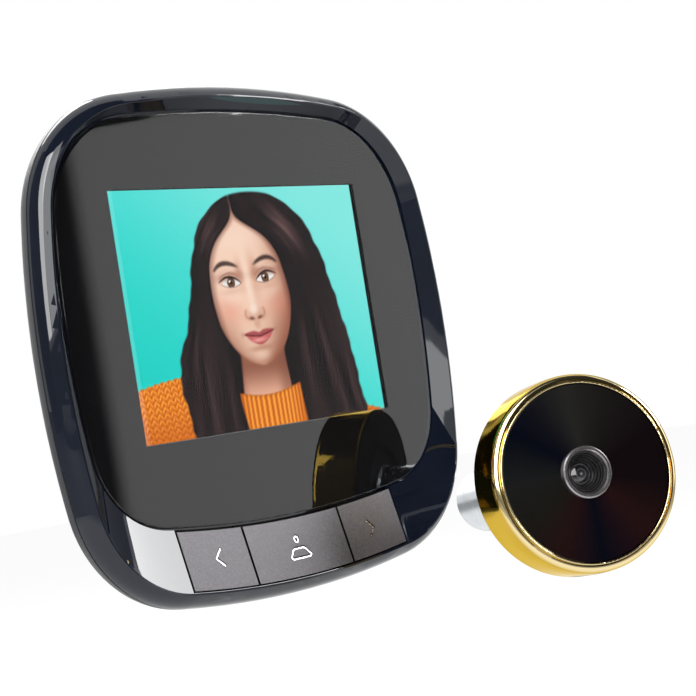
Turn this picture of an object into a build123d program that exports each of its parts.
from build123d import *
import math
import os

# Digital door viewer: an indoor monitor hooked on a wall bracket, and an outdoor camera unit
# that stands beside it, turned towards the viewer.
# Row frame: origin on the bracket's back face, midway between its two clamp screws.
# +X to the viewer's right, +Y into the door, +Z up.
# Monitor pieces are drawn in the screen's own frame: x right, y up, z out of the screen,
# with z = 0 on the picture plane. Bracket pieces are drawn the same way, with z = 0 on the
# door. Camera pieces are drawn about their own axis, z to the front, z = 0 at the glass disc.

# Driving dimensions, millimetres
screen_width = 57.6
screen_height = 43.2
case_half_width = 47.45
case_top = 39.85
case_bottom = -51.3
side_bow_radius = 160.0
end_bow_radius = 190.0
upper_corner_radius = 23.6
lower_corner_radius = 22.0
rim_radius = 4.3
crease_height = 3.75
crease_land = 0.3
crease_rounding = 0.14
parting_gap = 0.3
lip_gap = 0.15
lip_depth = 1.2
case_depth = 16.4
back_slope_degrees = 40.0
back_slope_start = 1.8
back_edge_radius = 6.0
wall = 1.8

plate_thickness = 1.6
hook_gap = 0.4
hook_offset = 17.0
hook_width = 8.0
hook_tops = (0.8, -13.2)
hook_rise = 4.0
lift = 5.0
clamp_spacing = 8.0
clamp_screw_radius = 1.5
clamp_screw_length = 20.0
clamp_neck_radius = 1.85
clamp_head_radius = 2.75
clamp_head_height = 2.0
screen_above_origin = 16.0

window_half_width = 42.0
window_top = 35.3
window_bottom = -37.6
window_face = 1.1
window_back = 0.1
window_gap = 0.35
ledge_width = 2.7
ledge_thickness = 1.0
panel_size = (69.2, 50.0)
panel_thickness = 1.2
backlight_depth = 2.8

key_middle = -0.55
key_zone_half_width = 26.15
key_split = 11.55
key_gap = 0.22
key_side_gap = 0.4
key_zone_top = -37.9
key_zone_bottom = -48.7
key_heel = -47.8
key_base_top = -1.05
key_base_bottom = -1.7
key_catch = 0.75
key_bow_top = 200.0
key_bow_bottom = 190.0
switch_places = ((key_middle - 18.9, -42.0), (key_middle, -42.6), (key_middle + 18.9, -42.0))

board_front = -3.4
board_thickness = 1.0
post_places = ((-32.0, 28.0), (32.0, 28.0), (-31.0, -36.0), (31.0, -36.0))
board_screw_places = ((-20.0, -34.0), (20.0, -34.0))
post_end = -3.8
screw_seat = -6.0

cell_radius = 5.25
cell_length = 44.5
cell_nub_length = 1.0
cell_heights = (-3.05, 7.85, 18.75)
cell_depth = 9.25
tray_half_width = 25.3
tray_low = -8.4
tray_high = 24.15
tray_floor = -3.8
tray_wall = 1.2
contact_thickness = 0.4
leaf_width = 5.0
leaf_thickness = 0.3
leaf_foot = 0.4

door_half_width = 27.4
door_low = -9.9
door_inner = -14.85
door_gap = 0.15
rail_width = 1.0
rail_bottom = -15.5
far = 60.0

ring_back_radius = 18.5
ring_side_radius = 18.35
ring_lip_radius = 1.2
head_depth = 9.2
plate_face = -8.1
disc_radius = 16.45
disc_thickness = 1.4
lens_ring_radius = 4.8
lens_ring_bore = 3.6
barrel_radius = 3.5
lens_radius = 2.2
head_board_front = -6.1
head_board_back = -7.1
head_post_reach = 12.5
tube_radius = 6.5
tube_bore = 5.7
collar_radius = 6.95
tube_end = -51.5
gasket_thickness = 0.8
head_place = (43.79, -51.89, -22.99)
head_yaw_degrees = 26.95
head_pitch_degrees = 5.7

# Places worked out from them
case_back = -(hook_gap + plate_thickness)
screen_plane = Plane(origin=(0, case_back - case_depth, screen_above_origin),
                     x_dir=(1, 0, 0), z_dir=(0, -1, 0))
door_plane = Plane(origin=(0, 0, 0), x_dir=(1, 0, 0), z_dir=(0, -1, 0))
yaw = math.radians(head_yaw_degrees)
pitch = math.radians(head_pitch_degrees)
head_facing = (-math.sin(yaw) * math.cos(pitch), -math.cos(yaw) * math.cos(pitch), math.sin(pitch))
head_plane = Plane(origin=head_place, x_dir=(math.cos(yaw), -math.sin(yaw), 0), z_dir=head_facing)
slope = math.tan(math.radians(back_slope_degrees))
sloped_wall = wall / math.cos(math.radians(back_slope_degrees))
crease_inset = rim_radius - math.sqrt(rim_radius ** 2 - crease_height ** 2)
dish_inset = crease_inset + crease_land
board_back = board_front - board_thickness


def arc_crossing(first_centre, first_reach, second_centre, second_reach):
    """The right-hand point at the given distances from two centres."""
    across = (second_centre[0] - first_centre[0], second_centre[1] - first_centre[1])
    span = math.hypot(*across)
    along = (first_reach ** 2 - second_reach ** 2 + span ** 2) / (2 * span)
    aside = math.sqrt(first_reach ** 2 - along ** 2)
    base = (first_centre[0] + along * across[0] / span, first_centre[1] + along * across[1] / span)
    offset = (-aside * across[1] / span, aside * across[0] / span)
    return max((base[0] + offset[0], base[1] + offset[1]), (base[0] - offset[0], base[1] - offset[1]))


def touch(centre, radius, towards):
    """The point of a circle that lies towards another point."""
    reach = math.hypot(towards[0] - centre[0], towards[1] - centre[1])
    return (centre[0] + radius * (towards[0] - centre[0]) / reach,
            centre[1] + radius * (towards[1] - centre[1]) / reach)


def mirrored(point):
    return (-point[0], point[1])


def bowed_face(half_width, top, bottom, side_radius, top_radius, bottom_radius, upper_corner, lower_corner):
    """A rounded rectangle whose four sides bow outwards, made of eight tangent arcs."""
    side_centre = (half_width - side_radius, (top + bottom) / 2)
    top_centre = (0, top - top_radius)
    bottom_centre = (0, bottom + bottom_radius)
    upper = arc_crossing(side_centre, side_radius - upper_corner, top_centre, top_radius - upper_corner)
    lower = arc_crossing(side_centre, side_radius - lower_corner, bottom_centre, bottom_radius - lower_corner)
    top_end = touch(top_centre, top_radius, upper)
    side_start = touch(side_centre, side_radius, upper)
    side_end = touch(side_centre, side_radius, lower)
    bottom_end = touch(bottom_centre, bottom_radius, lower)
    upper_chord = ((top_end[0] + side_start[0]) / 2, (top_end[1] + side_start[1]) / 2)
    lower_chord = ((side_end[0] + bottom_end[0]) / 2, (side_end[1] + bottom_end[1]) / 2)
    upper_middle = touch(upper, upper_corner, upper_chord)
    lower_middle = touch(lower, lower_corner, lower_chord)
    side_middle = (half_width, (top + bottom) / 2)
    edges = [
        ThreePointArc(mirrored(top_end), (0, top), top_end),
        ThreePointArc(top_end, upper_middle, side_start),
        ThreePointArc(side_start, side_middle, side_end),
        ThreePointArc(side_end, lower_middle, bottom_end),
        ThreePointArc(bottom_end, (0, bottom), mirrored(bottom_end)),
        ThreePointArc(mirrored(bottom_end), mirrored(lower_middle), mirrored(side_end)),
        ThreePointArc(mirrored(side_end), mirrored(side_middle), mirrored(side_start)),
        ThreePointArc(mirrored(side_start), mirrored(upper_middle), mirrored(top_end)),
    ]
    return make_face(edges)


def case_face(inset):
    """The monitor's outline, drawn in by inset."""
    return bowed_face(case_half_width - inset, case_top - inset, case_bottom + inset,
                      side_bow_radius - inset, end_bow_radius - inset, end_bow_radius - inset,
                      upper_corner_radius - inset, lower_corner_radius - inset)


def window_outline(grow):
    """The window's outline, drawn out by grow."""
    return bowed_face(window_half_width + grow, window_top + grow, window_bottom - grow,
                      170 + grow, 250 + grow, 200 + grow, 19 + grow, 15 + grow)


def rise(face, low, high):
    """A face raised into a solid between two heights."""
    return extrude(Pos(0, 0, low) * face, high - low, dir=(0, 0, 1))


def block(x_range, y_range, z_range):
    """A box from its three pairs of limits."""
    ranges = (x_range, y_range, z_range)
    size = [high - low for low, high in ranges]
    centre = [(high + low) / 2 for low, high in ranges]
    return Pos(*centre) * Box(*size)


def rod(place, z_range, radius):
    """A round bar along z."""
    low, high = z_range
    return Pos(place[0], place[1], (low + high) / 2) * Cylinder(radius, high - low)


def turned(points):
    """A solid of revolution about z from (radius, z) points."""
    return revolve(Plane.XZ * make_face(Polyline(*points, close=True)), Axis.Z)


def joined(shapes):
    """One solid from overlapping shapes."""
    whole = shapes[0]
    for shape in shapes[1:]:
        whole += shape
    return whole


def group(shapes):
    """Separate solids kept together in one node."""
    return Compound([solid for shape in shapes for solid in shape.solids()])


def cross_recess(place, z_range, width):
    """The crossed slot of a screw head."""
    x, y = place
    arm = width / 5
    flat = block((x - width / 2, x + width / 2), (y - arm / 2, y + arm / 2), z_range)
    upright = block((x - arm / 2, x + arm / 2), (y - width / 2, y + width / 2), z_range)
    return flat + upright


def pan_screw(place, seat, head_radius, head_height, shank_radius, shank_length, up):
    """A cross-recessed screw whose head stands on its seat; up is +1 or -1 along z."""
    head_end = seat + up * head_height
    shank_end = seat - up * shank_length
    head = rod(place, sorted((seat, head_end)), head_radius)
    rim = head.edges().filter_by(lambda edge: abs(edge.center().Z - head_end) < 0.01)
    head = fillet(rim, head_height * 0.45)
    shank = rod(place, sorted((seat + up * 0.1, shank_end)), shank_radius)
    recess = cross_recess(place, sorted((head_end - up * head_height * 0.5, head_end + up)), head_radius * 1.1)
    return head + shank - recess


# Monitor: front half
def front_form():
    """The raised front with its rounded outer edge, and the dish that is cut from it."""
    pillow = rise(case_face(0), -0.2, rim_radius)
    pillow = fillet(pillow.edges().group_by(Axis.Z)[-1], rim_radius - 0.01)
    rim = pillow & block((-far, far), (-far, far), (parting_gap, crease_height))
    lower_edge = (Pos(0, 0, window_face) * window_outline(window_gap)).face()
    upper_edge = (Pos(0, 0, crease_height) * case_face(dish_inset)).face()
    dish = loft([lower_edge, upper_edge], ruled=True)
    dish += rise(case_face(dish_inset), crease_height, crease_height + 1)
    return rim, dish


def key_band(top_edge, bottom_edge, x_range, z_range):
    """The band of the lower slope between two bowed edges, as an upright prism."""
    upper_bow = Pos(0, top_edge + key_bow_top) * Circle(key_bow_top)
    lower_bow = Pos(0, bottom_edge + key_bow_bottom) * Circle(key_bow_bottom)
    x_low, x_high = x_range
    strip = Pos((x_low + x_high) / 2, (top_edge + bottom_edge) / 2) * Rectangle(x_high - x_low, 24)
    return rise((strip & lower_bow) - upper_bow, *z_range)


def crease_edges(front):
    """The edges of the narrow crease between the rounded rim and the dish."""
    found = []
    for edge in front.edges():
        limits = edge.bounding_box()
        if abs(limits.min.Z - crease_height) < 0.02 and abs(limits.max.Z - crease_height) < 0.02:
            found.append(edge)
    return found


def make_front_bezel():
    rim, dish = front_form()
    front = rim - dish
    front = fillet(crease_edges(front), crease_rounding)
    core = rise(case_face(wall + lip_gap), -ledge_thickness, parting_gap + 0.5)
    lip = rise(case_face(wall + lip_gap), -lip_depth, parting_gap)
    lip -= rise(case_face(wall + lip_gap + 0.65), -far, parting_gap)
    posts = [rod(place, (post_end, -0.6), 2.3) for place in post_places]
    board_posts = [rod(place, (board_front, -0.6), 1.7) for place in board_screw_places]
    body = joined([front, core, lip] + posts + board_posts)
    body -= rise(window_outline(window_gap), 0, window_face + 1)
    post_roots = joined([rod(place, (-2, -0.6), 2.3) for place in post_places])
    post_roots += joined([rod(place, (-2, -0.6), 1.7) for place in board_screw_places])
    body -= rise(window_outline(window_gap - ledge_width), -2, 2) - post_roots
    x_zone = (key_middle - key_zone_half_width, key_middle + key_zone_half_width)
    body -= key_band(key_zone_top, key_zone_bottom, x_zone, (-far, far))
    for place in post_places:
        body -= rod(place, (-far, -1.4), 1.05)
    for place in board_screw_places:
        body -= rod(place, (-far, -1.4), 0.85)
    return body


def make_window():
    pane = rise(window_outline(0), window_back, window_face)
    return fillet(pane.edges().group_by(Axis.Z)[-1], 0.25)


def make_tapes():
    edge = rise(window_outline(-0.3), 0, window_back) - rise(window_outline(-2.3), -1, 1)
    width, height = panel_size
    outer = block((-width / 2 + 0.4, width / 2 - 0.4), (-height / 2 + 0.4, height / 2 - 0.4), (0, window_back))
    picture = block((-screen_width / 2 - 0.3, screen_width / 2 + 0.3),
                    (-screen_height / 2 - 0.3, screen_height / 2 + 0.3), (-1, 1))
    return group([edge, outer - picture])


def make_panel():
    width, height = panel_size
    return block((-width / 2, width / 2), (-height / 2, height / 2), (-panel_thickness, 0))


def make_backlight():
    width, height = panel_size
    tray = block((-width / 2 - 0.4, width / 2 + 0.4), (-height / 2 - 0.4, height / 2 + 0.4), (-backlight_depth, -0.2))
    well = block((-width / 2 - 0.05, width / 2 + 0.05), (-height / 2 - 0.05, height / 2 + 0.05), (-panel_thickness, 1))
    return tray - well


def make_panel_flex():
    edge_y = -panel_size[1] / 2 - 0.4
    outline = Polyline((edge_y, -0.9), (edge_y - 1.6, -0.9), (edge_y - 3.0, board_front + 0.2),
                       (edge_y - 6.0, board_front + 0.2), (edge_y - 6.0, board_front),
                       (edge_y - 3.1, board_front), (edge_y - 1.7, -1.1), (edge_y, -1.1), close=True)
    strip = extrude(Plane.YZ * make_face(outline), 22, dir=(1, 0, 0))
    return Pos(-11, 0, 0) * strip


# Keys and their switches
def make_key(x_low, x_high):
    """A key cap cut from the lower slope, with a base that catches behind the bezel."""
    rim, dish = front_form()
    cap = key_band(key_zone_top - key_side_gap, key_zone_bottom + 0.3, (x_low, x_high),
                   (key_base_top - 0.1, crease_height)) - dish
    base_low = x_low - key_catch if x_low < -key_split * 1.5 else x_low
    base_high = x_high + key_catch if x_high > key_split * 1.5 else x_high
    base = key_band(key_zone_top + key_catch, key_heel, (base_low, base_high), (key_base_bottom, key_base_top))
    return cap + base


def make_switch_bodies():
    bodies = []
    for x, y in switch_places:
        body = block((x - 2.25, x + 2.25), (y - 2.25, y + 2.25), (board_front, board_front + 0.9))
        bodies.append(body - rod((x, y), (board_front + 0.2, 0), 1.1))
    return group(bodies)


def make_plunger(place):
    return rod(place, (board_front + 0.75, key_base_bottom), 1.0)


# Boards and sockets
def make_main_board():
    board = rise(case_face(5.6), board_back, board_front)
    board &= block((-26.5, 26.5), (-far, -10.3), (board_back, board_front))
    for place in board_screw_places:
        board -= rod(place, (-far, far), 1.1)
    return board


def make_board_chips():
    processor = block((6, 16), (-36, -26), (board_back - 1.1, board_back))
    memory = block((-16, -8), (-34, -28), (board_back - 1.0, board_back))
    regulator = block((-24, -20), (-26, -21), (board_back - 1.4, board_back))
    coil = rod((22.5, -24), (board_back - 2.2, board_back), 2.6)
    crystal = block((-4, -0.8), (-33, -30.5), (board_back - 0.8, board_back))
    return group([processor, memory, regulator, coil, crystal])


def make_ribbon_socket():
    body = block((-6, 6), (-22, -17.5), (board_back - 1.6, board_back))
    return body - block((-4.6, 4.6), (-18.8, -17), (board_back - 1.1, board_back - 0.6))


def make_board_screws():
    return group([pan_screw(place, board_back, 1.7, 1.1, 0.8, 2.8, -1) for place in board_screw_places])


# Monitor: back half
def rear_form(inset, slope_from, depth):
    """The case's back as a solid: an upright edge, then a slope all round to a flat back."""
    body = rise(case_face(inset), -depth, 0)
    back = body.faces().sort_by(Axis.Z)[0]
    run = (depth - slope_from) * slope
    return chamfer(back.edges(), run, depth - slope_from, reference=back)


def rounded_rear_form():
    body = rear_form(0, back_slope_start, case_depth)
    back = body.faces().sort_by(Axis.Z)[0]
    body = fillet(back.edges(), back_edge_radius)
    shoulder = body.edges().filter_by(lambda edge: abs(edge.center().Z + back_slope_start) < 0.05)
    return fillet(shoulder, rim_radius)


def make_rear_cover():
    outside = rounded_rear_form()
    inner_slope = back_slope_start - (sloped_wall - wall) / slope
    inside = rear_form(wall, inner_slope, case_depth - wall)
    shell = outside - inside
    tray_x = (-tray_half_width - tray_wall, tray_half_width + tray_wall)
    tray = block(tray_x, (tray_low - tray_wall, tray_high + tray_wall), (-case_depth + 0.5, -3.1))
    shelf = block((-29.8, 29.8), (door_low - 1.0, tray_high + tray_wall), (-case_depth + 0.5, -13.2))
    posts = [rod(place, (-case_depth, post_end - 0.1), 4.0) for place in post_places]
    props = [rod((x, -14.5), (-case_depth + 0.5, board_back), 1.5) for x in (-24.8, 24.8)]
    inner_parts = joined([tray, shelf] + posts + props) & outside
    shell += inner_parts
    shell -= block((-tray_half_width, tray_half_width), (tray_low, tray_high), (-far, tray_floor))
    shell -= block((-door_half_width - 0.2, door_half_width + 0.2), (door_low - 0.2, far), (-far, door_inner + 0.1))
    groove = door_half_width + rail_width + 0.2
    shell -= block((-groove, groove), (door_low + 1.0, far), (rail_bottom - 0.1, door_inner + 0.1))
    for place in post_places:
        shell -= rod(place, (-far, screw_seat), 2.6)
        shell -= rod(place, (-far, 0), 1.15)
    for x in (-hook_offset, hook_offset):
        for top in hook_tops:
            slot_top = top - screen_above_origin + 0.05
            shell -= block((x - hook_width / 2 - 0.3, x + hook_width / 2 + 0.3),
                           (slot_top - lift - 1.85, slot_top), (-far, -case_depth + wall + 1))
    shell -= block((-9, 9), (-25.5, -12.5), (-far, -case_depth + wall + 1))
    return shell


def make_battery_door():
    outside = rounded_rear_form()
    door = outside & block((-door_half_width, door_half_width), (door_low, far), (-far, door_inner))
    rail = door_half_width + rail_width
    door += block((-rail, rail), (door_low + 1.2, 21), (rail_bottom, door_inner))
    for step in range(4):
        y = 17.0 + 1.8 * step
        door -= block((-8, 8), (y, y + 0.8), (-far, -case_depth + 0.4))
    return door


def make_case_screws():
    return group([pan_screw(place, screw_seat, 2.0, 1.5, 1.0, 4.3, -1) for place in post_places])


# Batteries
def cell_direction(index):
    """Neighbouring cells lie opposite ways; +1 has its nub to the right."""
    return 1 if index % 2 == 0 else -1


def make_cell(index):
    way = cell_direction(index)
    nub_end = way * (tray_half_width - contact_thickness)
    body_start = nub_end - way * cell_length
    body_end = nub_end - way * cell_nub_length
    centre = (cell_heights[index], -cell_depth)
    can = Plane.YZ * Pos(*centre, 0) * Circle(cell_radius)
    nub = Plane.YZ * Pos(*centre, 0) * Circle(1.9)
    can = extrude(Pos(body_start, 0, 0) * can, abs(body_end - body_start), dir=(way, 0, 0))
    can = chamfer(can.edges().filter_by(GeomType.CIRCLE), 0.4)
    nub = extrude(Pos(body_end - way * 0.2, 0, 0) * nub, cell_nub_length + 0.2, dir=(way, 0, 0))
    return can + nub


def make_contact_plates():
    plates = []
    for side in (-1, 1):
        outer = side * tray_half_width
        inner = side * (tray_half_width - contact_thickness)
        for height in cell_heights:
            plates.append(block(sorted((outer, inner)), (height - 4.3, height + 4.3), (-13.6, -4.9)))
    return group(plates)


def make_contact_springs():
    """Arched leaf springs between the flat end of each cell and its contact plate."""
    springs = []
    foot = tray_half_width - contact_thickness
    crown = cell_length - foot + 0.05
    for index, level in enumerate(cell_heights):
        side = -cell_direction(index)
        arch = ThreePointArc((side * foot, -13.2), (side * crown, -cell_depth), (side * foot, -5.3))
        under = ThreePointArc((side * foot, -5.3 - leaf_foot), (side * (crown + leaf_thickness), -cell_depth),
                              (side * foot, -13.2 + leaf_foot))
        profile = make_face([arch, Line(arch @ 1, under @ 0), under, Line(under @ 1, arch @ 0)])
        leaf = extrude(Plane.XZ * profile, leaf_width, dir=(0, 1, 0))
        springs.append(Pos(0, level - leaf_width / 2, 0) * leaf)
    return group(springs)


# Wall bracket
def make_wall_bracket():
    plate = rise(Pos(0, 1) * RectangleRounded(48, 42, 5), 0, plate_thickness)
    reach = plate_thickness + hook_gap + wall + 0.3
    for x in (-hook_offset, hook_offset):
        x_range = (x - hook_width / 2, x + hook_width / 2)
        for top in hook_tops:
            plate -= block((x - hook_width / 2 - 0.3, x + hook_width / 2 + 0.3), (top, top + 8), (-1, 3))
            plate += block(x_range, (top - 1.5, top), (0.2, reach + 1.5))
            plate += block(x_range, (top - 1.5, top + hook_rise), (reach, reach + 1.5))
    for x in (-clamp_spacing / 2, clamp_spacing / 2):
        plate -= rod((x, 0), (-1, 3), clamp_neck_radius + 0.1)
    plate -= rise(SlotOverall(9.4, 3.2, rotation=90), -1, 3)
    return plate


def make_clamp_screws():
    screws = []
    for x in (-clamp_spacing / 2, clamp_spacing / 2):
        screw = pan_screw((x, 0), plate_thickness, clamp_head_radius, clamp_head_height,
                          clamp_screw_radius, clamp_screw_length, 1)
        neck = turned([(0, plate_thickness + 0.1), (clamp_neck_radius, plate_thickness + 0.1),
                       (clamp_neck_radius, 0), (clamp_screw_radius, -0.2), (0, -0.2)])
        screws.append(screw + Pos(x, 0, 0) * neck)
    return group(screws)


# Outdoor camera unit
def make_gold_ring():
    """The round body: its side swells slightly to the back edge, its front lip is double."""
    seat = -disc_thickness - 0.3
    lip_base = -1.1
    lip_middle = ring_lip_radius * math.sqrt(0.5)
    lip_inside = ring_side_radius - ring_lip_radius
    corners = [(17.1, -head_depth), (18.1, -head_depth), (ring_back_radius, -head_depth + 0.4),
               (ring_back_radius, -5.2), (ring_side_radius, lip_base), (lip_inside, lip_base + ring_lip_radius),
               (lip_inside - 0.05, -0.35), (16.87, -0.35), (16.87, 0.2), (disc_radius + 0.08, 0.2),
               (disc_radius + 0.08, seat), (15.75, seat), (15.75, plate_face), (17.1, plate_face)]
    edges = [Line(first, second) for first, second in zip(corners, corners[1:] + corners[:1])]
    edges[1] = ThreePointArc(corners[1], (18.38, -head_depth + 0.12), corners[2])
    edges[3] = ThreePointArc(corners[3], (18.47, -3.0), corners[4])
    edges[4] = ThreePointArc(corners[4], (lip_inside + lip_middle, lip_base + lip_middle), corners[5])
    edges[8] = ThreePointArc(corners[8], ((corners[8][0] + corners[9][0]) / 2, 0.34), corners[9])
    return revolve(Plane.XZ * make_face(edges), Axis.Z)


def make_camera_disc():
    """The black glass front, with a hole for the lens ring."""
    back = -disc_thickness
    points = [(lens_ring_bore + 0.45, back), (disc_radius, back), (disc_radius, -0.2),
              (disc_radius - 0.2, 0), (lens_ring_bore + 0.45, 0)]
    return turned(points)


def make_disc_seal():
    return turned([(15.85, -disc_thickness - 0.3), (disc_radius, -disc_thickness - 0.3),
                   (disc_radius, -disc_thickness), (15.85, -disc_thickness)])


def make_lens_ring():
    """The bright trim ring whose flange rests on the disc round the lens."""
    outer = lens_ring_bore + 0.4
    points = [(lens_ring_bore, -3.2), (outer, -3.2), (outer, 0), (lens_ring_radius, 0),
              (lens_ring_radius, 0.55), (lens_ring_radius - 0.25, 0.8), (lens_ring_radius - 0.65, 0.8),
              (outer - 0.05, 0.5), (lens_ring_bore, -0.35)]
    return turned(points)


def make_lens_barrel():
    points = [(lens_radius + 0.05, -4.8), (lens_radius + 0.05, -2.3), (3.25, -0.5), (barrel_radius, -0.5),
              (barrel_radius, -5.25), (1.6, -5.25), (1.6, -4.8)]
    return turned(points)


def make_front_lens():
    """A domed element whose crown shows in the barrel's mouth."""
    return rod((0, 0), (-3.45, -2.2), lens_radius) & Pos(0, 0, -5.9) * Sphere(3.7)


def make_lens_spacer():
    return turned([(1.5, -3.9), (lens_radius, -3.9), (lens_radius, -3.45), (1.5, -3.45)])


def make_rear_lens():
    return rod((0, 0), (-4.8, -3.9), lens_radius)


def make_lens_holder():
    holder = block((-4.3, 4.3), (-4.3, 4.3), (head_board_front, -3.4))
    holder -= rod((0, 0), (-5.3, far), barrel_radius + 0.05)
    return holder - block((-3.4, 3.4), (-3.4, 3.4), (head_board_front, -5.3))


def make_sensor():
    return block((-2.8, 2.8), (-2.4, 2.4), (head_board_front, -5.45))


def head_post_places():
    turns = [math.radians(degrees) for degrees in (90, 210, 330)]
    return [(head_post_reach * math.cos(turn), head_post_reach * math.sin(turn)) for turn in turns]


def make_sensor_board():
    board = rod((0, 0), (head_board_back, head_board_front), 15.2)
    for place in head_post_places():
        board -= rod(place, (-far, far), 1.1)
    return board


def make_camera_socket():
    body = block((-5.2, 5.2), (-1.6, 1.6), (head_board_back - 1.3, head_board_back))
    return body - block((-4.4, 4.4), (0.6, 2), (head_board_back - 1.0, head_board_back - 0.5))


def make_back_plate():
    plate = rod((0, 0), (-head_depth, plate_face), 17.05) - rod((0, 0), (-far, far), collar_radius + 0.05)
    for place in head_post_places():
        plate += rod(place, (plate_face - 0.3, head_board_back), 2.2)
        plate -= rod(place, (plate_face - 0.6, far), 0.85)
    return plate


def make_sensor_screws():
    return group([pan_screw(place, head_board_front, 1.8, 1.1, 0.8, 2.5, 1) for place in head_post_places()])


def make_door_tube():
    """The smooth tube that passes through the door, with a flange inside the head."""
    points = [(tube_bore, tube_end), (tube_radius - 0.4, tube_end), (tube_radius, tube_end + 0.4),
              (tube_radius, -10.6), (collar_radius, -10.1), (collar_radius, plate_face), (8.8, plate_face),
              (8.8, plate_face + 0.6), (tube_bore, plate_face + 0.6)]
    return turned(points)


def make_tube_end_plug():
    """The plug that the bracket's clamp screws draw on, with a slot for the ribbon."""
    plug = rod((0, 0), (tube_end + 0.4, tube_end + 6.4), tube_bore - 0.02)
    for x in (-clamp_spacing / 2, clamp_spacing / 2):
        plug -= rod((x, 0), (-far, far), 1.25)
    return plug - rise(SlotOverall(9, 2.6, rotation=90), -far, far)


def make_door_gasket():
    gasket = rod((0, 0), (-head_depth - gasket_thickness, -head_depth), 17.8)
    return gasket - rod((0, 0), (-far, far), 11.1)


def on_screen(shape):
    return screen_plane.location * shape


def on_door(shape):
    return door_plane.location * shape


def on_head(shape):
    return head_plane.location * shape


key_limit = key_zone_half_width - key_side_gap
key_spans = {
    "key_left": (key_middle - key_limit, key_middle - key_split - key_gap),
    "key_centre": (key_middle - key_split + key_gap, key_middle + key_split - key_gap),
    "key_right": (key_middle + key_split + key_gap, key_middle + key_limit),
}

nodes = {
    "wall_bracket": on_door(make_wall_bracket()),
    "clamp_screws": on_door(make_clamp_screws()),
    "rear_cover": on_screen(make_rear_cover()),
    "battery_door": on_screen(make_battery_door()),
    "contact_plates": on_screen(make_contact_plates()),
    "contact_springs": on_screen(make_contact_springs()),
    "main_board": on_screen(make_main_board()),
    "board_chips": on_screen(make_board_chips()),
    "ribbon_socket": on_screen(make_ribbon_socket()),
    "board_screws": on_screen(make_board_screws()),
    "key_switches": on_screen(make_switch_bodies()),
    "backlight_frame": on_screen(make_backlight()),
    "display_panel": on_screen(make_panel()),
    "display_flex": on_screen(make_panel_flex()),
    "front_bezel": on_screen(make_front_bezel()),
    "window_tapes": on_screen(make_tapes()),
    "display_window": on_screen(make_window()),
    "case_screws": on_screen(make_case_screws()),
    "gold_ring": on_head(make_gold_ring()),
    "camera_disc": on_head(make_camera_disc()),
    "disc_seal": on_head(make_disc_seal()),
    "lens_ring": on_head(make_lens_ring()),
    "lens_barrel": on_head(make_lens_barrel()),
    "front_lens": on_head(make_front_lens()),
    "lens_spacer": on_head(make_lens_spacer()),
    "rear_lens": on_head(make_rear_lens()),
    "lens_holder": on_head(make_lens_holder()),
    "image_sensor": on_head(make_sensor()),
    "sensor_board": on_head(make_sensor_board()),
    "camera_socket": on_head(make_camera_socket()),
    "sensor_screws": on_head(make_sensor_screws()),
    "back_plate": on_head(make_back_plate()),
    "door_tube": on_head(make_door_tube()),
    "tube_end_plug": on_head(make_tube_end_plug()),
    "door_gasket": on_head(make_door_gasket()),
}
for name, (x_low, x_high) in key_spans.items():
    nodes[name] = on_screen(make_key(x_low, x_high))
for name, place in zip(("plunger_left", "plunger_centre", "plunger_right"), switch_places):
    nodes[name] = on_screen(make_plunger(place))
for index in range(len(cell_heights)):
    nodes["battery_%d" % (index + 1)] = on_screen(make_cell(index))

os.makedirs("parts", exist_ok=True)
for name, shape in nodes.items():
    export_step(shape, "parts/%s.step" % name)
